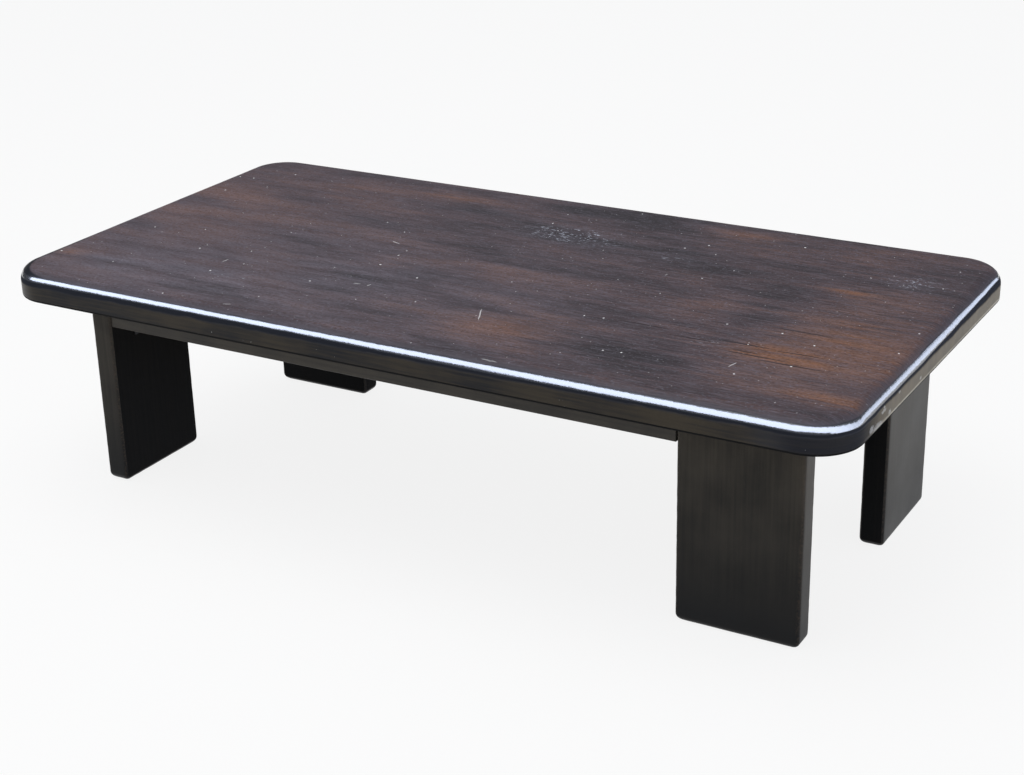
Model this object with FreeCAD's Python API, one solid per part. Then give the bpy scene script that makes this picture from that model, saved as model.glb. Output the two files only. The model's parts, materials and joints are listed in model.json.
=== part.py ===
import FreeCAD, Part
import math
import os

V = FreeCAD.Vector

# Folding low table. Origin on the floor under the middle of the top, +X along the length,
# +Z up, millimetres. The four legs stand in a pinwheel: each corner is the same set of
# pieces turned a quarter turn from the one before, and each leg folds inward under the top.

# Table top
top_length = 1200.0
top_width = 620.0
top_thickness = 42.0
top_corner_radius = 60.0
top_arris_radius = 20.0
bottom_arris_radius = 4.0
veneer_thickness = 1.5
backing_inset = 12.0
lipping_width = 40.0

# Standing height and the four leg boards
table_height = 332.0
leg_width = 160.0
leg_thickness = 33.0
leg_end_inset = 75.0
leg_side_inset = 84.0
leg_head_gap = 1.0
leg_edge_radius = 4.0
foot_corner_radius = 11.0
foot_edge_radius = 9.0

# Frame under the top
frame_depth = 55.0
apron_thickness = 20.0
apron_setback = 3.0
apron_end_gap = 2.5
apron_edge_radius = 1.5
stop_gap = 0.3
block_depth = 60.0
batten_width = 30.0
batten_depth = 40.0
batten_place_shares = {"left": -0.36, "middle": 0.0, "right": 0.36}

# Butt hinges
barrel_radius = 3.2
hinge_pin_radius = 1.5
pin_fit = 0.05
hinge_seat_gap = 0.3
hinge_length = 38.0
leaf_reach = 22.0
leaf_thickness = 2.0
knuckle_gap = 0.3
leaf_notch_gap = 0.5
knuckle_count = 5
hinge_place_shares = (-0.2, 0.2)
pin_head_radius = 2.4
pin_head_height = 1.2
leaf_corner_radius = 3.0

# Sliding lock bolt
bolt_radius = 5.0
bolt_fit = 0.1
bolt_throw = 12.0
bolt_tip_recess = 1.0
bolt_tip_chamfer = 1.0
collar_radius = 8.0
collar_length = 4.0
collar_gap = 0.3
socket_gap = 0.5
socket_floor_gap = 2.0
knob_radius = 11.0
knob_length = 18.0
knob_round = 3.0
knob_grip_depth = 1.5
knob_clearance = 2.0
knob_seat_depth = 9.0
plate_size = 34.0
plate_thickness = 2.0
plate_corner_radius = 4.0
plate_screw_inset = 5.5

# Wood screws
frame_screw_length = 55.0
frame_screw_radius = 2.25
frame_screw_head_radius = 4.2
batten_screw_length = 45.0
well_radius = 5.0
apron_well_depth = 22.0
batten_well_depth = 12.0
plate_screw_length = 16.0
plate_screw_radius = 1.5
plate_screw_head_radius = 2.9
screw_gap = 0.08
recess_width_share = 0.3
recess_depth_share = 0.5
recess_reach_share = 0.6
long_apron_screw_shares = (0.1, 0.5, 0.9)
short_apron_screw_shares = (0.2, 0.8)
batten_screw_shares = (-0.4, 0.0, 0.4)
block_screw_shares = (-0.36, 0.36)
block_screw_depth_share = 0.72
leaf_screw_shares = (-0.3, 0.3)
leaf_screw_reach_share = 0.68

# Cuts run past what they cut by this much
overrun = 5.0

# Heights and places that follow from the sizes above
top_underside = table_height - top_thickness
frame_underside = top_underside - frame_depth
corner_x = top_length / 2 - leg_end_inset
corner_y = top_width / 2 - leg_side_inset
# Each corner has its place and how many quarter turns its pieces are turned by
CORNERS = {
    "front_right": (corner_x, -corner_y, 0),
    "back_right": (corner_x, corner_y, 1),
    "back_left": (-corner_x, corner_y, 2),
    "front_left": (-corner_x, -corner_y, 3),
}

# Places in a corner's own frame: the leg's outer corner is the origin, the outer face lies
# on y = 0 with +y inward, and the board runs along -x.
stop_y = leg_thickness + stop_gap
apron_far = apron_setback + apron_thickness
batten_reach = corner_y - apron_far
block_x0 = -leg_width
block_x1 = -apron_far
block_mid_x = (block_x0 + block_x1) / 2
block_back_y = stop_y + block_depth
seat_offset = barrel_radius + hinge_seat_gap
axis_y = leg_thickness + seat_offset
axis_z = frame_underside - seat_offset
bolt_z = top_underside - frame_depth / 2


def box(x0, x1, y0, y1, z0, z1):
    return Part.makeBox(x1 - x0, y1 - y0, z1 - z0, V(x0, y0, z0))


def rounded_rectangle(x0, x1, y0, y1, radius):
    """Closed outline with four equal corner arcs, in the plane z = 0."""
    turn = radius * math.sqrt(0.5)
    corners = [(x1 - radius, y1 - radius, 1, 1), (x0 + radius, y1 - radius, -1, 1),
               (x0 + radius, y0 + radius, -1, -1), (x1 - radius, y0 + radius, 1, -1)]
    edges = []
    ends = []
    for cx, cy, sx, sy in corners:
        on_x = V(cx + sx * radius, cy, 0)
        on_y = V(cx, cy + sy * radius, 0)
        middle = V(cx + sx * turn, cy + sy * turn, 0)
        first, last = (on_x, on_y) if sx * sy > 0 else (on_y, on_x)
        edges.append(Part.Arc(first, middle, last).toShape())
        ends.append((first, last))
    for i in range(len(ends)):
        edges.append(Part.LineSegment(ends[i][1], ends[(i + 1) % len(ends)][0]).toShape())
    return Part.Wire(Part.__sortEdges__(edges))


def rounded_plate(x0, x1, y0, y1, z0, z1, radius):
    plate = Part.Face(rounded_rectangle(x0, x1, y0, y1, radius)).extrude(V(0, 0, z1 - z0))
    plate.translate(V(0, 0, z0))
    return plate


def cylinder(radius, start, axis, length):
    return Part.makeCylinder(radius, length, start, axis)


def at_corner(shape, corner):
    x, y, quarter_turns = CORNERS[corner]
    placed = shape.copy()
    placed.rotate(V(0, 0, 0), V(0, 0, 1), 90 * quarter_turns)
    placed.translate(V(x, y, 0))
    return placed


def save(name, solids):
    """One sub-part, as a single solid or as a group of separate solids."""
    shapes = []
    for item in solids if isinstance(solids, list) else [solids]:
        shapes.extend(item.Solids)
    shape = shapes[0] if len(shapes) == 1 else Part.makeCompound(shapes)
    shape.exportStep("parts/" + name + ".step")
    box_of = shape.BoundBox
    print(name, len(shapes), "solid", shape.isValid(), round(shape.Volume / 1000, 2), "cm3",
          [round(v, 1) for v in (box_of.XMin, box_of.YMin, box_of.ZMin)],
          [round(v, 1) for v in (box_of.XMax, box_of.YMax, box_of.ZMax)])


# Wood screws. A screw points along its axis from the face that its head is flush with.

def screw_body(length, radius, head_radius, grow):
    head_height = head_radius - radius
    tip_height = 2 * radius
    body = Part.makeCylinder(radius + grow, length - tip_height)
    head = Part.makeCone(head_radius + grow, radius + grow, head_height)
    tip = Part.makeCone(radius + grow, radius * recess_width_share, tip_height + grow,
                        V(0, 0, length - tip_height))
    return body.fuse([head, tip]).removeSplitter()


def aim(shape, start, axis):
    placed = shape.copy()
    placed.Placement = FreeCAD.Placement(start, FreeCAD.Rotation(V(0, 0, 1), axis))
    return placed


def screw(length, radius, head_radius, start, axis):
    """Countersunk screw with a cross recess in its head."""
    half = radius * recess_width_share
    reach = head_radius * recess_reach_share
    depth = head_radius * recess_depth_share
    cross = box(-reach, reach, -half, half, -overrun, depth)
    cross = cross.fuse(box(-half, half, -reach, reach, -overrun, depth))
    return aim(screw_body(length, radius, head_radius, 0).cut(cross), start, axis)


def screw_hole(length, radius, head_radius, start, axis, wide_radius=0, wide_depth=0):
    """Hole for a screw, with room for its head and an optional wide well in front of the head."""
    hole = screw_body(length + screw_gap, radius, head_radius, screw_gap)
    above = head_radius + screw_gap
    hole = hole.fuse(Part.makeCylinder(above, screw_gap, V(0, 0, -screw_gap)))
    if wide_depth:
        hole = hole.fuse(Part.makeCylinder(wide_radius, wide_depth, V(0, 0, -wide_depth)))
    return aim(hole, start, axis)


UP = V(0, 0, 1)


def frame_screw(x, y, z, length):
    return screw(length, frame_screw_radius, frame_screw_head_radius, V(x, y, z), UP)


def frame_hole(x, y, z, length, depth):
    return screw_hole(length, frame_screw_radius, frame_screw_head_radius, V(x, y, z), UP,
                      well_radius, depth + overrun)


# Table top: core panel, two veneers and four mitred lippings cut from one rounded slab

def top_slab():
    half_l, half_w = top_length / 2, top_width / 2
    slab = rounded_plate(-half_l, half_l, -half_w, half_w, top_underside, table_height,
                         top_corner_radius)
    upper = [e for e in slab.Edges if e.BoundBox.ZMin > table_height - veneer_thickness / 2]
    slab = slab.makeFillet(top_arris_radius, upper)
    lower = [e for e in slab.Edges if e.BoundBox.ZMax < top_underside + veneer_thickness / 2]
    return slab.makeFillet(bottom_arris_radius, lower)


def inset_plate(inset, z0, z1):
    half_l, half_w = top_length / 2 - inset, top_width / 2 - inset
    return rounded_plate(-half_l, half_l, -half_w, half_w, z0, z1, top_corner_radius - inset)


def face_veneer():
    """Sheet that ends where the round-over of the rim begins."""
    return inset_plate(top_arris_radius, table_height - veneer_thickness, table_height)


def backing_veneer():
    return inset_plate(backing_inset, top_underside, top_underside + veneer_thickness)


def top_core():
    half_l, half_w = top_length / 2 - lipping_width, top_width / 2 - lipping_width
    return box(-half_l, half_l, -half_w, half_w,
               top_underside + veneer_thickness, table_height - veneer_thickness)


def mitre_prism(side):
    """Region of one lipping, bounded by the 45 degree mitres at its two ends."""
    half_l, half_w = top_length / 2 + overrun, top_width / 2 + overrun
    inner = lipping_width + overrun
    if side in ("front", "back"):
        points = [(-half_l, -half_w), (half_l, -half_w), (half_l - inner, -half_w + inner),
                  (-half_l + inner, -half_w + inner)]
    else:
        points = [(half_l, -half_w), (half_l, half_w), (half_l - inner, half_w - inner),
                  (half_l - inner, -half_w + inner)]
    if side in ("back", "left"):
        points = [(-x, -y) for x, y in points]
    corners = [V(x, y, top_underside - overrun) for x, y in points]
    face = Part.Face(Part.makePolygon(corners + corners[:1]))
    return face.extrude(V(0, 0, top_thickness + 2 * overrun))


def lipping(side, rim):
    return rim.common(mitre_prism(side))


# Aprons, battens and hinge blocks

def apron_span(side):
    """Box limits of one rail: it starts at the stop of its own leg and ends short of the next."""
    long_start = -corner_x + stop_y
    long_end = corner_x - leg_width - apron_end_gap
    short_start = -corner_y + stop_y
    short_end = corner_y - leg_width - apron_end_gap
    front_y0 = -corner_y + apron_setback
    right_x1 = corner_x - apron_setback
    spans = {
        "front": (long_start, long_end, front_y0, front_y0 + apron_thickness),
        "right": (right_x1 - apron_thickness, right_x1, short_start, short_end),
    }
    if side == "back":
        x0, x1, y0, y1 = spans["front"]
        return (-x1, -x0, -y1, -y0)
    if side == "left":
        x0, x1, y0, y1 = spans["right"]
        return (-x1, -x0, -y1, -y0)
    return spans[side]


def apron_screw_places(side):
    x0, x1, y0, y1 = apron_span(side)
    if side in ("front", "back"):
        return [(x0 + s * (x1 - x0), (y0 + y1) / 2) for s in long_apron_screw_shares]
    return [((x0 + x1) / 2, y0 + s * (y1 - y0)) for s in short_apron_screw_shares]


def batten_screw_places(name):
    x = batten_place_shares[name] * corner_x
    return [(x, 2 * batten_reach * s) for s in batten_screw_shares]


def block_screw_places():
    """Screws of the four hinge blocks, in the table's frame."""
    places = []
    width = block_x1 - block_x0
    y = stop_y + block_depth * block_screw_depth_share
    for corner in CORNERS:
        for s in block_screw_shares:
            spot = at_corner(Part.Vertex(V(block_mid_x + s * width, y, 0)), corner)
            places.append((spot.X, spot.Y))
    return places


def apron(side):
    """Rail with its two lower long edges eased and wells for screws driven up into the top."""
    x0, x1, y0, y1 = apron_span(side)
    rail = box(x0, x1, y0, y1, frame_underside, top_underside)
    long_edge = max(x1 - x0, y1 - y0)
    lower = [e for e in rail.Edges
             if e.BoundBox.ZMax < top_underside and e.Length > long_edge / 2]
    rail = rail.makeFillet(apron_edge_radius, lower)
    z = frame_underside + apron_well_depth
    for x, y in apron_screw_places(side):
        rail = rail.cut(frame_hole(x, y, z, frame_screw_length, apron_well_depth))
    return rail


def batten(name):
    x = batten_place_shares[name] * corner_x
    bottom = top_underside - batten_depth
    bar = box(x - batten_width / 2, x + batten_width / 2, -batten_reach, batten_reach,
              bottom, top_underside)
    for sx, sy in batten_screw_places(name):
        bar = bar.cut(frame_hole(sx, sy, bottom + batten_well_depth, batten_screw_length,
                                 batten_well_depth))
    return bar


def hinge_block():
    """Block that the leg bears against, with the bore and collar chamber of its lock bolt."""
    block = box(block_x0, block_x1, stop_y, block_back_y, frame_underside, top_underside)
    width = block_x1 - block_x0
    y = stop_y + block_depth * block_screw_depth_share
    z = frame_underside + apron_well_depth
    for s in block_screw_shares:
        x = block_mid_x + s * width
        block = block.cut(frame_hole(x, y, z, frame_screw_length, apron_well_depth))
    inward = V(0, 1, 0)
    bore = cylinder(bolt_radius + bolt_fit, V(block_mid_x, stop_y - overrun, bolt_z), inward,
                    block_depth + 2 * overrun)
    chamber_length = bolt_throw + collar_length + 2 * collar_gap
    chamber = cylinder(collar_radius + collar_gap,
                       V(block_mid_x, block_back_y - chamber_length, bolt_z), inward,
                       chamber_length + overrun)
    block = block.cut([bore, chamber])
    for centre in hinge_centres():
        for start in leaf_screw_spots("block", centre):
            block = block.cut(plate_screw_hole(start, UP))
    for start in guide_screw_spots():
        block = block.cut(plate_screw_hole(start, V(0, -1, 0)))
    return block


# Butt hinges. The axis runs along x. The block leaf lies above and inward of the axis, the
# leg leaf below it on the leg's inner face.

def hinge_centres():
    width = block_x1 - block_x0
    return [block_mid_x + s * width for s in hinge_place_shares]


def leaf_screw_spots(side, centre):
    """Where the screw heads lie, on the face of a leaf that looks at the other leaf."""
    spots = []
    reach = leaf_reach * leaf_screw_reach_share
    face = seat_offset - leaf_thickness
    for s in leaf_screw_shares:
        x = centre + s * hinge_length
        if side == "block":
            spots.append(V(x, axis_y + reach, axis_z + face))
        else:
            spots.append(V(x, axis_y - face, axis_z - reach))
    return spots


def plate_screw(start, axis):
    return screw(plate_screw_length, plate_screw_radius, plate_screw_head_radius, start, axis)


def plate_screw_hole(start, axis):
    return screw_hole(plate_screw_length, plate_screw_radius, plate_screw_head_radius, start,
                      axis)


def knuckle_spans(parity):
    """Knuckles of one leaf along the hinge, counted from its left end."""
    pitch = hinge_length / knuckle_count
    spans = []
    for i in range(knuckle_count):
        if i % 2 == parity:
            start = -hinge_length / 2 + i * pitch
            spans.append((start + knuckle_gap / 2, start + pitch - knuckle_gap / 2))
    return spans


def leaf(parity):
    """Leaf lying above the axis and reaching along +y, hinge centre at the origin."""
    z1 = seat_offset
    z0 = seat_offset - leaf_thickness
    notch = barrel_radius + leaf_notch_gap
    half = hinge_length / 2
    plate = rounded_plate(-half, half, notch - leaf_corner_radius, leaf_reach, z0, z1,
                          leaf_corner_radius)
    plate = plate.common(box(-half, half, notch, leaf_reach, z0, z1))
    for x0, x1 in knuckle_spans(parity):
        tab = box(x0, x1, 0, notch + leaf_thickness, z0, z1)
        barrel = cylinder(barrel_radius, V(x0, 0, 0), V(1, 0, 0), x1 - x0)
        plate = plate.fuse([tab, barrel])
    return plate.cut(cylinder(hinge_pin_radius + pin_fit, V(-half - overrun, 0, 0), V(1, 0, 0),
                              hinge_length + 2 * overrun)).removeSplitter()


def block_leaves():
    leaves = []
    for centre in hinge_centres():
        piece = leaf(0)
        piece.translate(V(centre, axis_y, axis_z))
        for start in leaf_screw_spots("block", centre):
            piece = piece.cut(plate_screw_hole(start, UP))
        leaves.append(piece)
    return leaves


def leg_leaves():
    """The same leaf turned by half a turn and a quarter about the axis, onto the leg's face."""
    leaves = []
    for centre in hinge_centres():
        piece = leaf(1)
        piece.rotate(V(0, 0, 0), V(0, 0, 1), 180)
        piece.rotate(V(0, 0, 0), V(1, 0, 0), 90)
        piece.translate(V(centre, axis_y, axis_z))
        for start in leaf_screw_spots("leg", centre):
            piece = piece.cut(plate_screw_hole(start, V(0, -1, 0)))
        leaves.append(piece)
    return leaves


def hinge_pins():
    """Pins with a peened head outside each end of the barrel."""
    pins = []
    for centre in hinge_centres():
        x0 = centre - hinge_length / 2
        x1 = centre + hinge_length / 2
        pin = cylinder(hinge_pin_radius, V(x0, axis_y, axis_z), V(1, 0, 0), x1 - x0)
        for start, way in ((x0, -1), (x1, 1)):
            head = Part.makeCone(pin_head_radius, hinge_pin_radius, pin_head_height,
                                 V(start, axis_y, axis_z), V(way, 0, 0))
            pin = pin.fuse(head)
        pins.append(pin)
    return pins


# Lock bolt, its guide plate on the block and its strike plate in the leg

def square_plate(y0, y1):
    """Square plate with rounded corners round the bolt's axis, between two places along y."""
    half = plate_size / 2
    plate = rounded_plate(-half, half, -half, half, 0, y1 - y0, plate_corner_radius)
    plate.rotate(V(0, 0, 0), V(1, 0, 0), -90)
    plate.translate(V(block_mid_x, y0, bolt_z))
    return plate


def bored_plate(y0, y1, hole_radius):
    hole = cylinder(hole_radius, V(block_mid_x, y0 - overrun, bolt_z), V(0, 1, 0),
                    y1 - y0 + 2 * overrun)
    return square_plate(y0, y1).cut(hole)


def plate_screw_spots(y):
    side = plate_size / 2 - plate_screw_inset
    return [V(block_mid_x - side, y, bolt_z - side), V(block_mid_x + side, y, bolt_z + side)]


def guide_screw_spots():
    return plate_screw_spots(block_back_y + plate_thickness)


def strike_screw_spots():
    return plate_screw_spots(leg_thickness)


def leg_screw_spots():
    spots = strike_screw_spots()
    for centre in hinge_centres():
        spots += leaf_screw_spots("leg", centre)
    return spots


def bolt_guide():
    plate = bored_plate(block_back_y, block_back_y + plate_thickness, bolt_radius + bolt_fit)
    for start in guide_screw_spots():
        plate = plate.cut(plate_screw_hole(start, V(0, -1, 0)))
    return plate


def strike_plate():
    """Plate let in flush with the inner face of the leg."""
    plate = bored_plate(leg_thickness - plate_thickness, leg_thickness,
                        bolt_radius + socket_gap)
    for start in strike_screw_spots():
        plate = plate.cut(plate_screw_hole(start, V(0, -1, 0)))
    return plate


def bolt_tail_y():
    """Inner end of the rod, which leaves room for the throw between knob and guide plate."""
    return block_back_y + plate_thickness + bolt_throw + knob_clearance + knob_seat_depth


def bolt_rod():
    tip = stop_y + bolt_tip_recess
    inward = V(0, 1, 0)
    rod = cylinder(bolt_radius, V(block_mid_x, tip, bolt_z), inward, bolt_tail_y() - tip)
    end = [e for e in rod.Edges if e.BoundBox.YMax < tip + bolt_tip_chamfer / 2]
    rod = rod.makeChamfer(bolt_tip_chamfer, end)
    collar = cylinder(collar_radius,
                      V(block_mid_x, block_back_y - collar_gap - collar_length, bolt_z),
                      inward, collar_length)
    return rod.fuse(collar)


def bolt_knob():
    """Turned knob with a finger groove, bored for the end of the rod."""
    start = bolt_tail_y() - knob_seat_depth
    inward = V(0, 1, 0)
    knob = cylinder(knob_radius, V(block_mid_x, start, bolt_z), inward, knob_length)
    rims = [e for e in knob.Edges if e.Length > knob_radius * math.pi]
    knob = knob.makeFillet(knob_round, rims)
    groove = Part.makeTorus(knob_radius + knob_grip_depth, 2 * knob_grip_depth,
                            V(block_mid_x, start + knob_length / 2, bolt_z), inward)
    seat = cylinder(bolt_radius + screw_gap, V(block_mid_x, start - overrun, bolt_z), inward,
                    overrun + knob_seat_depth)
    return knob.cut([groove, seat])


# Legs

def board_face(u0, u1, head, radius):
    """Outline of a board seen square on: straight head, rounded bottom corners, foot on z = 0."""
    turn = radius * (1 - math.sqrt(0.5))
    points = [V(u0, 0, head), V(u0, 0, radius), V(u0 + turn, 0, turn), V(u0 + radius, 0, 0),
              V(u1 - radius, 0, 0), V(u1 - turn, 0, turn), V(u1, 0, radius), V(u1, 0, head)]
    edges = [Part.LineSegment(points[0], points[1]).toShape(),
             Part.Arc(points[1], points[2], points[3]).toShape(),
             Part.LineSegment(points[3], points[4]).toShape(),
             Part.Arc(points[4], points[5], points[6]).toShape(),
             Part.LineSegment(points[6], points[7]).toShape(),
             Part.LineSegment(points[7], points[0]).toShape()]
    return Part.Face(Part.Wire(edges))


def leg():
    """Board rounded at its long edges and all round its foot, bored for hinge, bolt and strike."""
    head = top_underside - leg_head_gap
    front = board_face(-leg_width, 0, head, foot_corner_radius)
    front = front.extrude(V(0, leg_thickness, 0))
    side = board_face(0, leg_thickness, head, foot_edge_radius)
    side.rotate(V(0, 0, 0), V(0, 0, 1), 90)
    side = side.extrude(V(-leg_width, 0, 0))
    plan = rounded_plate(-leg_width, 0, 0, leg_thickness, 0, head, leg_edge_radius)
    board = plan.common(front).common(side)
    outward = V(0, -1, 0)
    socket = cylinder(bolt_radius + socket_gap,
                      V(block_mid_x, leg_thickness + overrun, bolt_z), outward,
                      overrun + bolt_throw + socket_floor_gap)
    recess = square_plate(leg_thickness - plate_thickness, leg_thickness + overrun)
    board = board.cut([socket, recess])
    for start in leg_screw_spots():
        board = board.cut(plate_screw_hole(start, outward))
    return board


SIDES = ("front", "right", "back", "left")
frame_screw_z = frame_underside + apron_well_depth
batten_screw_z = top_underside - batten_depth + batten_well_depth


def apron_screw_list():
    return [place for side in SIDES for place in apron_screw_places(side)]


def batten_screw_list():
    return [place for name in batten_place_shares for place in batten_screw_places(name)]


def build_top():
    holes = [frame_hole(x, y, frame_screw_z, frame_screw_length, 0)
             for x, y in apron_screw_list() + block_screw_places()]
    holes += [frame_hole(x, y, batten_screw_z, batten_screw_length, 0)
              for x, y in batten_screw_list()]
    sheet, backing, core = face_veneer(), backing_veneer(), top_core()
    rim = top_slab().cut([sheet, backing, core])
    save("top_core", core.cut(holes))
    save("face_veneer", sheet)
    save("backing_veneer", backing.cut(holes))
    for side in SIDES:
        save("lipping_" + side, lipping(side, rim))


def build_frame():
    for side in SIDES:
        save("apron_" + side, apron(side))
    for name in batten_place_shares:
        save("batten_" + name, batten(name))
    save("apron_screws", [frame_screw(x, y, frame_screw_z, frame_screw_length)
                          for x, y in apron_screw_list()])
    save("block_screws", [frame_screw(x, y, frame_screw_z, frame_screw_length)
                          for x, y in block_screw_places()])
    save("batten_screws", [frame_screw(x, y, batten_screw_z, batten_screw_length)
                           for x, y in batten_screw_list()])


def build_corners():
    """Every piece of a corner is made once and set at all four corners."""
    outward = V(0, -1, 0)
    pieces = {
        "hinge_block": [hinge_block()],
        "block_leaves": block_leaves(),
        "hinge_pins": hinge_pins(),
        "bolt_guide": [bolt_guide()],
        "bolt_rod": [bolt_rod()],
        "bolt_knob": [bolt_knob()],
        "leg": [leg()],
        "leg_leaves": leg_leaves(),
        "strike_plate": [strike_plate()],
        "leg_screws": [plate_screw(s, outward) for s in leg_screw_spots()],
    }
    hinge_screws = [plate_screw(s, UP) for centre in hinge_centres()
                    for s in leaf_screw_spots("block", centre)]
    guide_screws = [plate_screw(s, outward) for s in guide_screw_spots()]
    for corner in CORNERS:
        for name, solids in pieces.items():
            save(name + "_" + corner, [at_corner(s, corner) for s in solids])
    save("hinge_screws", [at_corner(s, c) for c in CORNERS for s in hinge_screws])
    save("guide_screws", [at_corner(s, c) for c in CORNERS for s in guide_screws])


os.makedirs("parts", exist_ok=True)
build_top()
build_frame()
build_corners()
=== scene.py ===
# %% [markdown]
# # A folding low table on plank legs
# The real table has a thick top with a rounded black rim, a brown field that years of wiping
# have worn, and four wide legs that fold flat under it. Every part already stands at its real
# place in the frame, so this lesson loads the frame first and then dresses it piece by piece.

# %% Load the frame
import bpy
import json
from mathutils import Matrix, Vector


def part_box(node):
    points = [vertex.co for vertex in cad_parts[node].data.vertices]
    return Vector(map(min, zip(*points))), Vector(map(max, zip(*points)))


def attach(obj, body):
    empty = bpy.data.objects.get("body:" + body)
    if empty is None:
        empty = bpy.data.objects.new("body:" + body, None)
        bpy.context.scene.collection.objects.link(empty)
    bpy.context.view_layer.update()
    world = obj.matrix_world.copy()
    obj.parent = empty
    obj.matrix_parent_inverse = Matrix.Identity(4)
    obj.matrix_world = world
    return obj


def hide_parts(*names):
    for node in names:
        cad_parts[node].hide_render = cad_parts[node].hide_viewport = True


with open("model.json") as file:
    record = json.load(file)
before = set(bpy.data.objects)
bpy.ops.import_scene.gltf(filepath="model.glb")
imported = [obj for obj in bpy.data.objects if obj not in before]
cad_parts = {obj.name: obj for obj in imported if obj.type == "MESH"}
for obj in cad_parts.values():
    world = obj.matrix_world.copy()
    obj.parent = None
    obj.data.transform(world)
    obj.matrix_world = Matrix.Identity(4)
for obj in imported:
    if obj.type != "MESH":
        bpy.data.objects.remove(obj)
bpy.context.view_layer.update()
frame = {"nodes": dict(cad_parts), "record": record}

# %% [markdown]
# ## Tools of the lesson
# Most of the work is building meshes point by point and wiring shader nodes. One function
# turns a paint maker's sRGB hex value into the linear numbers that a renderer adds up, and one
# function adds a node with its settings and its links. Settings that every finish needs have a
# short name. A Map Range node takes a value, its range and the range that it turns into, from
# 0 to 1 where none is given. With SOFT it makes the soft masks that all the wear is built of.
# Noise from mathutils gives the same numbers on every run, so the wear never moves.

# %% Colours and objects
import functools
import json
import math

import bmesh
import bpy
from mathutils import Matrix, Vector, noise

MM = 0.001
scene = bpy.context.scene


def linear(hex_value):
    """sRGB hex, such as #808080, to linear red, green, blue and alpha."""
    channels = [int(hex_value[i:i + 2], 16) / 255 for i in (1, 3, 5)]
    return [c / 12.92 if c <= 0.04045 else ((c + 0.055) / 1.055) ** 2.4 for c in channels] + [1.0]


def new_object(name, data):
    """Object that shows a mesh, a lamp or a camera, linked to the scene."""
    made = bpy.data.objects.new(name, data)
    scene.collection.objects.link(made)
    return made


print("grey card in linear light:", [round(c, 3) for c in linear("#bababa")[:3]])

# %% Nodes
TIMES = {"operation": "MULTIPLY"}
PLUS = {"operation": "ADD"}
MINUS = {"operation": "SUBTRACT"}
TIMES_PLUS = {"operation": "MULTIPLY_ADD"}
MOST = {"operation": "MAXIMUM"}
SOFT = {"interpolation_type": "SMOOTHSTEP"}
COLOURS = {"data_type": "RGBA"}


def join(node, links):
    """Sets inputs, in order or by name, to values or to the outputs of other nodes."""
    for key, value in links.items() if isinstance(links, dict) else enumerate(links):
        if isinstance(value, bpy.types.Node):
            value = next(output for output in value.outputs if output.enabled)
        if isinstance(value, bpy.types.NodeSocket):
            node.id_data.links.new(value, node.inputs[key])
        else:
            node.inputs[key].default_value = value


def add_node(tree, kind, links=(), **settings):
    """Adds one node with its settings and its links."""
    node = tree.nodes.new("ShaderNode" + kind)
    for name, value in settings.items():
        setattr(node, name, value)
    join(node, links)
    return node


def new_material(name):
    """A material, its shader, and the function that adds nodes to its tree."""
    material = bpy.data.materials.new(name)
    material.use_nodes = True
    tree = material.node_tree
    return material, tree.nodes["Principled BSDF"], functools.partial(add_node, tree)


def coats(add, colour, *layers):
    """Lays colours over the first one in order, each as far as its mask lets it show."""
    for mask, paint in layers:
        colour = add("Mix", {0: mask, 6: colour, 7: paint}, **COLOURS)
    return colour


print("short names for", len((TIMES, PLUS, MINUS, TIMES_PLUS, MOST, SOFT, COLOURS)), "settings")

# %% [markdown]
# ## Sizes read from the frame
# Nothing is measured twice. The slab, the inlaid sheets and the legs take their places from
# the boxes of the pieces in the frame. Only the roundings, which a box can't tell, are given
# here as real millimetres.

# %% Driving sizes
# Quarter turns of each leg, and the sides that it stands on
CORNERS = {"front_right": (0, 1, 1), "back_right": (1, 1, -1), "back_left": (2, -1, -1),
           "front_left": (3, -1, 1)}
HALF_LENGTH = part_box("lipping_right")[1].x
HALF_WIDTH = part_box("lipping_back")[1].y
UNDERSIDE_Z, TOP_Z = (corner.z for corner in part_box("lipping_front"))
VENEER_INSET = HALF_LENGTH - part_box("face_veneer")[1].x
VENEER_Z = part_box("face_veneer")[0].z
BACKING_INSET = HALF_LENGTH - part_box("backing_veneer")[1].x
BACKING_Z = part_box("backing_veneer")[1].z
RIM_WIDTH = HALF_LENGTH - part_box("top_core")[1].x
CORNER_RADIUS = 60 * MM
BOTTOM_ARRIS = 4 * MM
leg_low, leg_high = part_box("leg_front_right")
LEG_WIDTH = leg_high.x - leg_low.x
LEG_THICKNESS = leg_high.y - leg_low.y
LEG_HEAD_Z = leg_high.z
LEG_OUTER = Vector((leg_high.x, leg_low.y, 0))
LEG_EDGE_RADIUS = 4 * MM
FOOT_CORNER_RADIUS = 11 * MM
FOOT_EDGE_RADIUS = 9 * MM
print("top", round(2 * HALF_LENGTH, 3), "by", round(2 * HALF_WIDTH, 3), "height", round(TOP_Z, 3))

# %% [markdown]
# ## Camera
# The photograph looks down on the front right corner from standing height. Its lens and place
# were worked out from the outline of the top and the feet, so they are plain numbers here:
# metres in the frame, degrees, and a lens on a 36 mm wide sensor.

# %% Camera
CAMERA_PLACE = (1.2052, -2.0422, 1.1352)
CAMERA_YAW = 30.267
CAMERA_DOWN = 22.486
CAMERA_ROLL = -1.389
LENS_MM = 65.98

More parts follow.
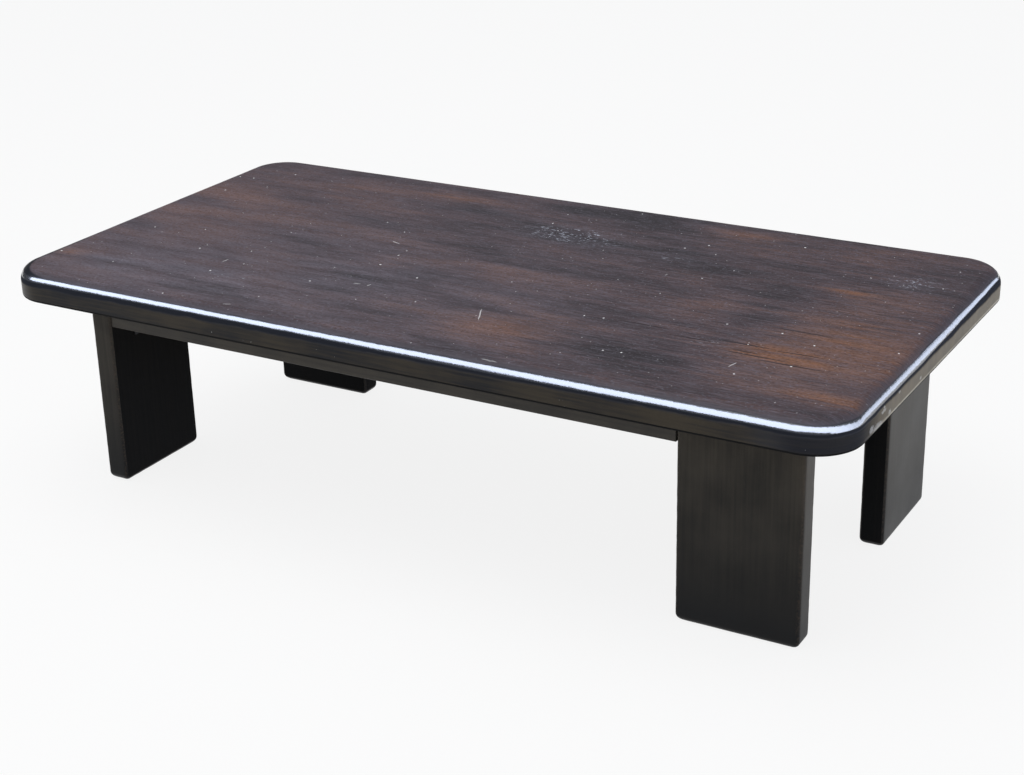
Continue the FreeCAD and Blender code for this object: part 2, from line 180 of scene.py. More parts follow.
camera_data = bpy.data.cameras.new("camera")
camera_data.lens = LENS_MM
camera_data.sensor_width = 36
camera = new_object("camera", camera_data)
turn = Matrix.Rotation(math.radians(CAMERA_YAW), 4, "Z")
tilt = Matrix.Rotation(math.radians(90 - CAMERA_DOWN), 4, "X")
roll = Matrix.Rotation(math.radians(CAMERA_ROLL), 4, "Z")
camera.matrix_world = Matrix.Translation(CAMERA_PLACE) @ turn @ tilt @ roll
scene.camera = camera
print("camera is", round((Vector(CAMERA_PLACE) - Vector((0, 0, TOP_Z))).length, 2), "m away")

# %% [markdown]
# ## Floor, world and lamps
# A studio floor of pale paper. Most of what the camera and the gloss see of it shines by
# itself at a strength of one, so it stays pale, and the rest is lit, so it keeps the table's
# shadow. The world is a pale dome that is bright overhead and dim at the horizon, as a light
# tent is, and one large softbox overhead brings a white surface to about white.

# %% Floor
FLOOR_HALF = 30.0
FLOOR_GLOW_SHARE = 0.86
PAPER = linear("#f6f4f0")
WHITE = linear("#ffffff")

floor_mesh = bpy.data.meshes.new("paper_floor")
corners = [(x * FLOOR_HALF, y * FLOOR_HALF, 0) for x, y in ((-1, -1), (1, -1), (1, 1), (-1, 1))]
floor_mesh.from_pydata(corners, [], [(0, 1, 2, 3)])
floor = new_object("paper_floor", floor_mesh)

paper, shader, add = new_material("white_seamless_paper")
join(shader, {"Base Color": PAPER, "Roughness": 0.9, "Specular IOR Level": 0.1})
rays = add("LightPath").outputs
seen = add("Math", (rays["Is Camera Ray"], rays["Is Glossy Ray"]), **PLUS)
seen = add("Math", (seen, rays["Is Transmission Ray"]), use_clamp=True, **PLUS)
share = add("Math", (seen, FLOOR_GLOW_SHARE), **TIMES)
mix = add("MixShader", (share, shader, add("Emission", {"Color": WHITE, "Strength": 1.0})))
join(paper.node_tree.nodes["Material Output"], {"Surface": mix})
floor_mesh.materials.append(paper)
print("floor", 2 * FLOOR_HALF, "m wide")

# %% World
DOME_BLUE = linear("#eaf0fa")
DOME_HORIZON = 0.12
DOME_SHOULDER = 0.24
DOME_SHOULDER_HEIGHT = 0.35
DOME_ZENITH = 1.05

world = bpy.data.worlds.new("pale_dome")
scene.world = world
world.use_nodes = True
add = functools.partial(add_node, world.node_tree)
upward = add("SeparateXYZ", (add("TexCoord").outputs["Generated"],)).outputs[2]
low = add("MapRange", (upward, 0, DOME_SHOULDER_HEIGHT, DOME_HORIZON, DOME_SHOULDER))
high = add("MapRange", (upward, DOME_SHOULDER_HEIGHT, 1, 0, DOME_ZENITH - DOME_SHOULDER))
background = world.node_tree.nodes["Background"]
join(background, {"Color": DOME_BLUE, "Strength": add("Math", (low, high), **PLUS)})
white = add("Background", {"Color": WHITE, "Strength": 1.0})
mix = add("MixShader", (add("LightPath").outputs["Is Camera Ray"], background, white))
join(world.node_tree.nodes["World Output"], {"Surface": mix})
scene.view_settings.view_transform = "Standard"
print("dome from", DOME_HORIZON, "to", DOME_ZENITH)

# %% Softbox
SOFTBOX_PLACE = (-0.4, -0.6, 3.0)
SOFTBOX_SIZE = 2.6
SOFTBOX_WATTS = 36.0


def softbox(name, place, facing, width, height, watts, colour):
    """Rectangular lamp that shines along facing and is never seen itself."""
    lamp = bpy.data.lights.new(name, "AREA")
    lamp.shape = "RECTANGLE"
    lamp.size = width
    lamp.size_y = height
    lamp.energy = watts
    lamp.color = colour[:3]
    holder = new_object(name, lamp)
    holder.location = place
    holder.rotation_euler = Vector(facing).to_track_quat("-Z", "Y").to_euler()
    holder.visible_camera = False
    return holder


softbox("overhead_softbox", SOFTBOX_PLACE, -Vector(SOFTBOX_PLACE), SOFTBOX_SIZE, SOFTBOX_SIZE,
        SOFTBOX_WATTS, WHITE)
print("softbox at", SOFTBOX_PLACE)

# %% [markdown]
# The bright line on the rim is the mirror image of something bright and low. In a studio that
# is a band of upright strip boxes round the front and the right of the set. The rim turns from
# facing up to facing out within 20 mm, so it mirrors the whole sky from overhead to the
# horizon, and the lower and upper edge of the band set where on the shoulder the line lies. The
# boxes light only what is glossy here: they are kept out of the diffuse light, because the dome
# and the softbox already give the plain level. Each point of the band is its place, its lower
# and upper edge in metres and its radiance.

# %% Strip boxes
STRIP_BLUE = linear("#dbe6ff")
BOXES_PER_SPAN = 2
STRIP_LINE = [
    (-4.9, -1.9, 1.70, 3.3, 10.5), (-3.6, -2.4, 1.65, 3.4, 10.5), (-2.0, -3.05, 1.55, 3.8, 10.5),
    (-0.9, -3.5, 1.05, 4.0, 10.5), (1.0, -3.2, 1.50, 4.3, 10.5), (2.7, -2.75, 1.35, 4.4, 10.5),
    (3.95, -1.4, 0.65, 3.7, 10.0), (4.35, 0.3, 0.33, 2.8, 8.5), (3.85, 2.0, 0.10, 1.7, 5.5),
    (2.7, 3.2, 0.05, 0.85, 4.0), (1.8, 3.9, 0.30, 1.40, 3.8),
]
count = 0
for start, end in zip(STRIP_LINE, STRIP_LINE[1:]):
    for i in range(BOXES_PER_SPAN):
        left, middle, right = (Vector(start).lerp(Vector(end), (i + part) / BOXES_PER_SPAN)
                               for part in (0, 0.5, 1))
        x, y, low, high, radiance = middle
        run = (right - left).to_2d()
        width, height = run.length, high - low
        strip = softbox("strip_" + str(count), (x, y, (low + high) / 2), (-run.y, run.x, 0), width,
                        height, radiance * math.pi * width * height, STRIP_BLUE)
        strip.visible_diffuse = False
        count += 1
print(count, "strips")

# %% [markdown]
# ## The wiped top
# The real top is an oak veneer, stained dark brown and wiped with many thin coats of lacquer.
# Hands and cloths have rubbed it back along the grain: the wood shows warm brown in some
# places, stays blue black in others, and carries a pale haze of fine scratches. A blue-grey
# sheen is painted into that haze as well. It could be one noise texture, but wear has several
# sizes at once, so it is built as layers from broad to fine. Every layer is stretched along the
# length of the table, because that is how the grain runs. Object coordinates are metres in the
# frame, so all the scales are real sizes. Only the finest layers are drawn coarser than real
# pores and scratches, which are too thin to show.

# %% Layers of the wiped wood
STAIN_DARK = linear("#2e2628")
STAIN_MID = linear("#504144")
WOOD_BROWN = linear("#70534a")
WOOD_ORANGE = linear("#8a5a38")
HAZE_AND_SHEEN_BLUE = linear("#88838e")
SCUFF = linear("#d2d7e2")
PORE_DARK = linear("#1f1718")
CHIP_PALE = linear("#f2f1ee")


def streaks(add, place, along_mm, across_mm, detail, offset):
    """Noise stretched along x, laid straight down so that the grain runs on over the rim."""
    mapping = add("Mapping", {"Vector": place, "Location": (offset, offset, offset),
                              "Scale": (1000 / along_mm, 1000 / across_mm, 0.0)})
    return add("TexNoise", {"Vector": mapping, "Scale": 1.0, "Detail": detail, "Roughness": 0.6})


def soft_oval(add, place, middle, reach, turn=0.0):
    """1 in the middle of an oval, falling to 0 at its reach, turned about the vertical."""
    local = add("Mapping", {"Vector": place, "Location": middle, "Rotation": (0, 0, turn),
                            "Scale": reach}, vector_type="TEXTURE")
    return add("TexGradient", {"Vector": local}, gradient_type="SPHERICAL").outputs["Fac"]


def spots(add, place, table):
    """Sum of soft ovals on the top, each a place and two radii in millimetres and a strength."""
    total = 0.0
    for x, y, reach_x, reach_y, strength in table:
        oval = soft_oval(add, place, (x * MM, y * MM, TOP_Z), (reach_x * MM, reach_y * MM, 1))
        total = add("Math", (oval, strength, total), **TIMES_PLUS)
    return total


# %% [markdown]
# The photograph tells where the wood shows through, where the stain has stayed, where the haze
# and its painted sheen lie and where something has scribbled on the lacquer. Each place is
# written once: its middle and its two reaches in millimetres from the middle of the top, and
# its strength. Scratches and dark cracks in the grain are lines from one point to another.

# %% Places on the top
WORN_ORANGE = [
    (450, -138, 80, 32, 1.4), (475, -160, 100, 20, 0.6), (583, -130, 60, 34, 0.7),
    (560, -243, 100, 30, 0.9), (459, 97, 55, 24, 0.9), (500, -20, 120, 150, 0.45),
    (530, -100, 110, 120, 0.5), (-210, 235, 140, 40, 0.5), (240, 245, 90, 34, 0.6),
    (125, -205, 110, 60, 0.6), (-560, -215, 40, 24, 0.6), (240, 70, 90, 30, 0.3)]
WORN_BROWN = [
    (-470, 60, 230, 210, 0.6), (-420, -90, 160, 120, 0.3), (-230, 240, 220, 60, 0.6),
    (130, -200, 160, 90, 0.7), (505, -110, 180, 260, 1.2), (250, 250, 130, 50, 0.5),
    (500, 220, 120, 90, 0.5), (0, -30, 300, 60, 0.3), (-560, 150, 120, 120, 0.3)]
KEPT_DARK = [
    (60, 265, 170, 60, 1.3), (20, 140, 140, 60, 0.8), (235, 135, 160, 50, 0.7),
    (330, 180, 120, 80, 0.2), (388, -20, 55, 170, 0.8), (280, -210, 150, 110, 0.7),
    (-150, 200, 160, 60, 0.5), (60, 40, 160, 60, 0.3)]
HAZE_AND_SHEEN_PLACES = [
    (35, 150, 120, 50, 0.5), (200, 125, 80, 24, 0.3), (515, 165, 60, 30, 0.5),
    (-480, -215, 80, 40, 0.45), (-290, -205, 60, 40, 0.5), (-380, -230, 200, 90, 0.35),
    (-230, -120, 200, 200, 0.25), (30, -120, 200, 80, 0.2), (430, -205, 60, 30, 0.2)]
SCRIBBLED = [
    (30, 150, 120, 50, 1.2), (515, 165, 60, 36, 1.0), (190, 125, 60, 26, 0.7),
    (-290, -205, 60, 30, 0.6), (360, -140, 40, 24, 0.6)]
SCRATCHES = [
    (65, -158, 84, -200), (417, -203, 421, -184), (-135, -151, -122, -149),
    (-112, -153, -110, -143), (-343, -158, -342, -143),
    (-185, 20, -167, 13), (-239, -291, -227, -286), (146, -300, 171, -301)]
DARK_CRACKS = [
    (365, -127, 450, -129), (440, -131, 510, -129), (385, -157, 480, -158),
    (430, -166, 525, -167), (395, -149, 440, -150), (300, -138, 380, -137),
    (230, -120, 310, -122), (405, -60, 500, -62)]
print(len(WORN_ORANGE + WORN_BROWN + KEPT_DARK + HAZE_AND_SHEEN_PLACES + SCRIBBLED), "places on the top,",
      len(SCRATCHES + DARK_CRACKS), "lines")


# %% Marks on the lacquer
SCRATCH_HALF_WIDTH = 0.9 * MM
CRACK_HALF_WIDTH = 1.6 * MM


def thin_lines(add, place, table, half_width, strength):
    """Soft straight lines, each from one point to another, in millimetres."""
    total = 0.0
    for x0, y0, x1, y1 in table:
        middle = ((x0 + x1) / 2 * MM, (y0 + y1) / 2 * MM, TOP_Z)
        reach = (math.hypot(x1 - x0, y1 - y0) / 2 * MM, half_width, 1)
        line = soft_oval(add, place, middle, reach, math.atan2(y1 - y0, x1 - x0))
        total = add("Math", (line, total), **MOST)
    return add("MapRange", (total, 0.0, 0.35, 0, strength), **SOFT)


def specks(add, place, spacing_mm, radius_mm, kept_share):
    """Small pale marks, one at most in each cell, and only in some of the cells."""
    flat = add("Mapping", {"Vector": place, "Scale": (1000 / spacing_mm, 1000 / spacing_mm, 0)})
    cells = add("TexVoronoi", {"Vector": flat, "Scale": 1.0}, voronoi_dimensions="2D")
    chance, size, _ = add("SeparateColor", (cells.outputs["Color"],)).outputs
    kept = add("Math", (chance, kept_share), operation="LESS_THAN")
    radius = add("Math", (size, radius_mm / spacing_mm), **TIMES)
    dot = add("Math", (cells.outputs["Distance"], radius), operation="LESS_THAN")
    return add("Math", (dot, kept), **TIMES)


def wandering(add, place, size_mm, amount_mm):
    """The same place, moved a little by noise, so that lines and edges wander."""
    push = add("TexNoise", {"Vector": place, "Scale": 1000 / size_mm, "Detail": 2.0})
    centred = add("VectorMath", (push.outputs["Color"], (0.5, 0.5, 0.5)), **MINUS)
    moved = add("VectorMath", {0: centred, "Scale": 2 * amount_mm * MM}, operation="SCALE")
    return add("VectorMath", (place, moved), **PLUS)


print("lines", SCRATCH_HALF_WIDTH, "and", CRACK_HALF_WIDTH, "m from middle to edge")

# %% [markdown]
# The layers meet in one value, called level: how far the stain has been wiped off. It is dark
# below, brown in the middle and bare wood above. On the right half the grain is more open, so
# its streaks and pores are stronger there. The left half and the front keep a thin film that
# looks pale, with a blue-grey sheen painted into it. The scribbles are curled lines that only
# show where the grit is coarse.

# %% Streaks, film and warmth
# Length and width of one streak in millimetres, detail and offset
STREAK_SIZES = [(230, 60, 2, 0.0), (170, 20, 2, 3.1), (120, 4, 3, 7.7), (22, 1.5, 2, 1.3),
                (4, 2.8, 3, 2.2), (9, 2.2, 2, 5.9), (26, 9, 1, 4.4)]
# Two places in metres, along or across the top, and the strength at each
OPEN_GRAIN = (-0.5, 0.4, 0.35, 0.9)
SHEEN_FILM_ALONG = (-0.1, 0.35, 0.5, 0.06)
SHEEN_FILM_ACROSS = (-0.15, 0.15, 1.0, 0.35)
MIDDLE_WAVE = 0.26
FINE_WAVE = 0.36
DUST_WAVE = 0.45


def wiped_level(add, place, broad, *waves):
    """How far the stain is wiped off: worn places, broad streaks and waves of finer ones."""
    brown = add("Math", (spots(add, place, WORN_BROWN), spots(add, place, KEPT_DARK)), **MINUS)
    level = add("Math", (brown, 0.3, broad), **TIMES_PLUS)
    for layer, reach, strength in waves:
        wave = add("MapRange", (layer, 0, 1, -reach, reach))
        level = add("Math", (wave, strength, level), **TIMES_PLUS)
    return level


def sheen_fog_and_warmth(add, place, x, y, middle, fine):
    """Masks of the pale film with its painted sheen, and of the places where warm wood shows."""
    # Painted sheen: the pale blue-grey film is strongest on the left half and at the front.
    sheen_film = (add("MapRange", (x, *SHEEN_FILM_ALONG)), add("MapRange", (y, *SHEEN_FILM_ACROSS)),
            spots(add, place, HAZE_AND_SHEEN_PLACES))
    fog_and_sheen = add("Math", (add("Math", sheen_film, **TIMES_PLUS),
                       add("MapRange", (middle, 0.15, 0.75, 0, 0.42), **SOFT)), **TIMES)
    warm = add("Math", (spots(add, place, WORN_ORANGE),
                        add("MapRange", (middle, 0.2, 0.65), **SOFT)), **TIMES)
    warm = add("Math", (warm, add("MapRange", (fine, 0.1, 0.6), **SOFT)), **TIMES)
    return fog_and_sheen, add("MapRange", (warm, 0.0, 0.9, 0, 0.8), **SOFT)


print(len(STREAK_SIZES), "sizes of streak in the wiped wood")

# %% Scuffs and scratches
def pale_marks(add, straight, place, grit, curls):
    """Masks of the scuffs, and of the scratches and specks."""
    off_middle = add("Math", (add("Math", (curls, 0.5), **MINUS),), operation="ABSOLUTE")
    scribbles = add("Math", (add("MapRange", (off_middle, 0.04, 0.016), **SOFT),
                             add("MapRange", (grit, 0.55, 0.61), **SOFT)), **TIMES)
    scuffs = add("Math", (add("MapRange", (grit, 0.6, 0.72, 0, 0.35), **SOFT), scribbles),
                 **MOST)
    scribbled = spots(add, place, SCRIBBLED)
    scuffs = add("Math", (scuffs, add("MapRange", (scribbled, 0.1, 0.9, 0, 0.95), **SOFT)),
                 **TIMES)
    crooked = wandering(add, straight, 9, 1.2)
    marks = thin_lines(add, crooked, SCRATCHES, SCRATCH_HALF_WIDTH, 0.6)
    marks = add("Math", (marks, specks(add, crooked, 24, 1.4, 0.09)), **MOST)
    faint = add("Math", (specks(add, crooked, 8, 0.9, 0.06), 0.45), **TIMES)
    return scuffs, add("Math", (marks, faint), **MOST)


print(len(SCRIBBLED), "scribbled places and", len(SCRATCHES), "scratches")

# %% Wiped wood
def wiped_wood(add):
    """Colour, roughness and height of the wiped veneer."""
    straight = add("TexCoord").outputs["Object"]
    place = wandering(add, straight, 400, 1.2)
    broad, middle, fine, hair, dust, grit, curls = (
        streaks(add, place, *sizes) for sizes in STREAK_SIZES)
    x, y, _ = add("SeparateXYZ", (straight,)).outputs
    open_grain = add("MapRange", (x, *OPEN_GRAIN))
    level = wiped_level(add, place, broad, (middle, MIDDLE_WAVE, open_grain),
                        (fine, FINE_WAVE, open_grain), (dust, DUST_WAVE, 1.0))
    stain = add("MapRange", (level, 0.2, 0.55), **SOFT)
    bare = add("MapRange", (level, 0.45, 0.9), **SOFT)
    fog_and_sheen, warm = sheen_fog_and_warmth(add, place, x, y, middle, fine)
    pores = add("Math", (add("MapRange", (hair, 0.5, 0.68, 0, 0.7), **SOFT), open_grain), **TIMES)
    pores = add("Math", (pores, add("MapRange", (dust, 0.48, 0.7, 0, 0.62), **SOFT)), **MOST)
    worn_lines = add("Math", (add("MapRange", (hair, 0.46, 0.32, 0, 0.28), **SOFT),
                              add("MapRange", (dust, 0.46, 0.25, 0, 0.48), **SOFT)), **MOST)
    scuffs, marks = pale_marks(add, straight, place, grit, curls)
    cracks = thin_lines(add, place, DARK_CRACKS, CRACK_HALF_WIDTH, 0.9)
    colour = coats(add, STAIN_DARK, (stain, STAIN_MID), (bare, WOOD_BROWN), (fog_and_sheen, HAZE_AND_SHEEN_BLUE),
                   (warm, WOOD_ORANGE), (pores, PORE_DARK), (worn_lines, HAZE_AND_SHEEN_BLUE),
                   (scuffs, SCUFF), (cracks, PORE_DARK), (marks, CHIP_PALE))
    rough = add("MapRange", (level, 0.2, 0.9, 0.42, 0.6))
    height = add("Math", (pores, -0.5, add("Math", (fine, 0.6), **TIMES)), **TIMES_PLUS)
    return colour, rough, height


print("nine coats of colour in the wiped wood")

# %% [markdown]
# The veneer itself is one flat sheet. Its tree takes colour, roughness and relief from the
# layers. Lacquer has an index of refraction of about 1.5, but this one has been wiped so thin
# that it barely closes the grain, so its gloss is low: a lower index and a high roughness.

# %% Veneer finish
def oak_veneer():
    material, shader, add = new_material("wiped_lacquer_on_oak_veneer")
    colour, rough, height = wiped_wood(add)
    bump = add("Bump", {"Strength": 0.35, "Distance": 0.3 * MM, "Height": height})
    join(shader, {"Base Color": colour, "Roughness": rough, "Normal": bump, "IOR": 1.32})
    return material


VENEER_FINISH = oak_veneer()
print(VENEER_FINISH.name)

# %% [markdown]
# ## The black rim
# Four lippings frame the top. On the real table they were moulded round, stained with the top
# and then coated with black lacquer, which still has its gloss along the shoulder. Above the
# shoulder the wiping has taken it back to the brown of the top. The side below is duller and
# grey with handling, and its right end has lost a few chips.
#
# A bevelled block would do from far off, but the line of light along the shoulder shows every
# ripple, so the profile is swept round the edge in steps of a few millimetres and each point
# is pressed in a little by noise. An attribute says how far round the profile a point is, from
# 0 at the veneer to 1 below the round and 2 under the rim, and the finish is mixed by that.

# %% Profile of the rim
SHOULDER_STEPS = 18
SIDE_STEPS = 5
FOOT_STEPS = 5
SIDE_END_SHARE = 1.5


def rim_profile():
    """Points as inset, height, outward part and upward part of the normal, round share, square."""
    points = []
    for i in range(SHOULDER_STEPS + 1):
        angle = math.radians(90 * i / SHOULDER_STEPS)
        points.append((VENEER_INSET * (1 - math.sin(angle)),
                       TOP_Z - VENEER_INSET * (1 - math.cos(angle)),
                       math.sin(angle), math.cos(angle), i / SHOULDER_STEPS, False))
    side_top = TOP_Z - VENEER_INSET
    side_bottom = UNDERSIDE_Z + BOTTOM_ARRIS
    for i in range(1, SIDE_STEPS + 1):
        z = side_top + (side_bottom - side_top) * i / SIDE_STEPS
        points.append((0, z, 1, 0, 1 + (SIDE_END_SHARE - 1) * i / SIDE_STEPS, False))
    for i in range(1, FOOT_STEPS + 1):
        angle = math.radians(90 * i / FOOT_STEPS)
        share = SIDE_END_SHARE + (2 - SIDE_END_SHARE) * i / FOOT_STEPS
        points.append((BOTTOM_ARRIS * (1 - math.cos(angle)),
                       side_bottom - BOTTOM_ARRIS * math.sin(angle),
                       math.cos(angle), -math.sin(angle), share, False))
    for inset, z, square in (
            (BACKING_INSET, UNDERSIDE_Z, False), (BACKING_INSET, BACKING_Z, False),
            (RIM_WIDTH, BACKING_Z, True), (RIM_WIDTH, VENEER_Z, True),
            (VENEER_INSET, VENEER_Z, False)):
        points.append((inset, z, 0, 0, 2, square))
    return points


PROFILE = rim_profile()
print(len(PROFILE), "points in the profile")

# %% Path round the edge
ARC_STEPS = 16
STATION_SPACING = 4 * MM


def stations(half_along, half_across):
    """Places along one side of the rim from mitre to mitre, as x, y and turn."""
    straight = half_along - CORNER_RADIUS
    across = -(half_across - CORNER_RADIUS)
    count = round(2 * straight / STATION_SPACING)
    turns = [math.radians(45 * i / ARC_STEPS) for i in range(ARC_STEPS + 1)]
    return ([(-straight, across, -turn) for turn in turns[:0:-1]]
            + [(-straight + 2 * straight * i / count, across, 0.0) for i in range(count + 1)]
            + [(straight, across, turn) for turn in turns[1:]])


def side_of_top(quarter):
    """Half length and half width as one side sees them, and its quarter turns as a matrix."""
    halves = (HALF_LENGTH, HALF_WIDTH) if quarter % 2 == 0 else (HALF_WIDTH, HALF_LENGTH)
    return halves, Matrix.Rotation(math.radians(90 * quarter), 3, "Z")


print("a station every", STATION_SPACING, "m")

# %% Skins and pieces
SHARP_DEGREES = 35


def skin(bm, rings):
    """Skins closed rings of points and caps both ends. Gives the faces after each ring."""
    walls = []
    for a, b in zip(rings, rings[1:]):
        corners = [(i, (i + 1) % len(a)) for i in range(len(a))]
        walls.append([bm.faces.new((a[i], a[j], b[j], b[i])) for i, j in corners])
    bm.faces.new(rings[0])
    bm.faces.new(rings[-1][::-1])
    bmesh.ops.recalc_face_normals(bm, faces=bm.faces[:])
    return walls


def new_piece(name, bm, *materials):
    """Object with the mesh that was built, and its materials."""
    mesh = bpy.data.meshes.new(name)
    bm.to_mesh(mesh)
    bm.free()
    for material in materials:
        mesh.materials.append(material)
    return new_object(name, mesh)


def smooth_piece(name, bm, *materials):
    """The same with smooth faces, and sharp edges only where faces meet at a real corner."""
    for face in bm.faces:
        face.smooth = True
    for edge in bm.edges:
        if len(edge.link_faces) == 2 and edge.calc_face_angle(0) > math.radians(SHARP_DEGREES):
            edge.smooth = False
    return new_piece(name, bm, *materials)


print("an edge is sharp from", SHARP_DEGREES, "degrees")

# %% One lipping
RIM_PRESS = 0.35 * MM
RIPPLES_PER_METRE = 18
DENTS_PER_METRE = 75


def press(point):
    """Depth that a point of the rim is pressed in: long ripples and short dents."""
    ripple = noise.noise(point * RIPPLES_PER_METRE) * 0.5 + 0.5
    dent = noise.noise(point * DENTS_PER_METRE + Vector((5, 3, 1))) * 0.5 + 0.5
    return RIM_PRESS * (0.6 * ripple + 0.4 * dent)


def lipping_mesh(name, quarter, *materials):
    """One lipping, swept from mitre to mitre and set at its side of the top."""
    halves, spin = side_of_top(quarter)
    bm = bmesh.new()
    round_share = bm.verts.layers.float.new("round_share")
    rings = []
    for x, y, turn in stations(*halves):
        out = Vector((math.sin(turn), -math.cos(turn), 0))
        ring = []
        for inset, z, n_out, n_up, share, square in PROFILE:
            reach = (CORNER_RADIUS - inset) / (math.cos(turn) if square else 1)
            point = spin @ (Vector((x, y, z)) + out * reach)
            if 0 < share < 2:
                point -= spin @ (out * n_out + Vector((0, 0, n_up))) * press(point)
            vert = bm.verts.new(point)
            vert[round_share] = share
            ring.append(vert)
        rings.append(ring)
    shares = [point[4] for point in PROFILE]
    # Painted shade: the lower side and the underside of the rim get the darker stain.
    for wall in skin(bm, rings):
        for face, here, ahead in zip(wall, shares, shares[1:] + shares[:1]):
            face.material_index = int(min(here, ahead) >= SIDE_END_SHARE)
    return smooth_piece(name, bm, *materials)


print("the rim is pressed in by up to", RIM_PRESS, "m")

# %% [markdown]
# The rim's finish mixes three surfaces by the attribute: wiped wood, black lacquer with its
# full gloss, and the same lacquer dulled by handling. The gloss is a clear coat, and its weight
# follows the attribute. The border between brown and black wanders with noise, as a rubbed edge
# does. Towards the shoulder the brown fades into a blue-grey film, partly thicker lacquer and
# partly a painted reflection. Away from the used sides, and at the left end, more of the black
# is kept. Near the front right corner the dull grey is painted back towards black, as painted
# shade. The right end is paler, partly rubbed by handling and partly a painted sheen, with a
# bare line on its lower arris and chips that are told one by one: place along the side, height,
# and the two reaches in millimetres. The fine noise stands for dust and pores and is drawn
# coarser than they are, at more than 2 mm, or they wouldn't show. Lacquer has an index of
# refraction of about 1.5. The coat starts from that and is raised until the line of light is as
# bright as in the photograph.

# %% Limits of the rim finish
LACQUER_BLACK = linear("#0a0c14")
LACQUER_DULL = linear("#3c3427")
HANDLED_END_AND_SHEEN = linear("#6b5e47")
RUBBED_ARRIS = linear("#b3aa98")
SHOULDER_FILM_AND_SHEEN = linear("#443e44")
COAT_IOR = 1.9
# Sizes of the noise in millimetres
WANDER_MM = 35.71
CLOUD_MM = 111.1
MOTTLE_MM = 18.18
KNOCK_MM = 9.09
FINE_MM = 2.381
# Where a mask starts and where it is full, by how far round the profile
BLACK_RANGE = (0.47, 0.56)
GLOSS_RANGE = (0.52, 0.58)
DULL_RANGE = (0.92, 1.04)
ARRIS_RANGE = (1.4, 1.46)
# The same, as a share of the half length or width
LITTLE_USED_RANGE = (0.97, 0.85)
# The same, in metres from the middle of the top
LEFT_END_X = (-0.52, -0.57)
LEFT_END_Y = (0.05, -0.22)
NEAR_CORNER_X = (0.47, 0.55)
NEAR_CORNER_Y = (-0.16, -0.27)
RIGHT_END_X = (0.59, 0.598)
# Two places in metres, along the depth or the length, and how far round the gloss goes there
GLOSS_END_BACK = (-0.05, 0.24, 0.83, 0.66)
GLOSS_END_LEFT = (-0.1, 0.1, 0.75, 0.83)
CHIP_DEPTH = 0.02
CHIPS = [(-62, 300, 5, 4), (-137, 311, 6, 3), (-114, 293, 9, 3), (-191, 308, 14, 4),
         (-150, 294, 10, 4), (-208, 296, 26, 8), (-169, 299, 8, 5), (-188, 312, 4, 3),
         (-228, 300, 12, 8)]
print(len(CHIPS), "chips on the right end")

# %% Borders of the lacquer
def lacquer_borders(add, x, y, border, calm_border):
    """Masks: black kept, gloss kept, dulled by handling, flat, and the matt corner of painted
    shade.
    """
    used = add("Math", (add("Math", (x, 1 / HALF_LENGTH), **TIMES),
                        add("Math", (y, -1 / HALF_WIDTH), **TIMES)), **MOST)
    kept = add("Math", (add("MapRange", (x, *LEFT_END_X, 0, 0.25), **SOFT),
                        add("MapRange", (y, *LEFT_END_Y), **SOFT),
                        add("MapRange", (used, *LITTLE_USED_RANGE, 0, 0.22), **SOFT)),
               **TIMES_PLUS)
    black = add("MapRange", (add("Math", (border, kept), **PLUS), *BLACK_RANGE), **SOFT)
    gloss_end = add("Math", (add("MapRange", (y, *GLOSS_END_BACK)),
                             add("MapRange", (x, *GLOSS_END_LEFT))), operation="MINIMUM")
    past_gloss = add("Math", (calm_border, gloss_end), **MINUS)
    gloss = add("Math", (add("MapRange", (calm_border, *GLOSS_RANGE), **SOFT),
                         add("MapRange", (past_gloss, 0.03, -0.02), **SOFT)), **TIMES)
    dull = add("MapRange", (border, *DULL_RANGE), **SOFT)
    matt_and_shaded_corner = add("Math", (add("MapRange", (x, *NEAR_CORNER_X), **SOFT),
                               add("MapRange", (y, *NEAR_CORNER_Y), **SOFT)), **TIMES)
    flat = add("Math", (add("MapRange", (past_gloss, -0.03, 0.05), **SOFT), dull), **MINUS)
    flat = add("Math", (flat, add("Math", (matt_and_shaded_corner, dull), **TIMES)), **MOST)
    return black, gloss, dull, flat, matt_and_shaded_corner


print("black from", BLACK_RANGE[1], "and dull from", DULL_RANGE[1], "of the profile")

# %% Wear of the side
def chipped_end(add, place):
    """Mask of the chips: flakes of noise inside soft balls on the right end."""
    crooked = wandering(add, place, 6, 2.5)
    balls = 0.0
    for y, z, reach_y, reach_z in CHIPS:
        ball = soft_oval(add, crooked, (HALF_LENGTH, y * MM, z * MM),
                         (CHIP_DEPTH, reach_y * MM, reach_z * MM))
        balls = add("Math", (ball, balls), **MOST)
    flakes = add("Mapping", {"Vector": crooked, "Scale": (0, 1000 / 2.4, 1000 / 1.2)})
    flakes = add("TexNoise", {"Vector": flakes, "Scale": 1.0, "Detail": 3.0})
    return add("MapRange", (add("Math", (balls, flakes), **TIMES), 0.15, 0.33, 0, 0.38), **SOFT)


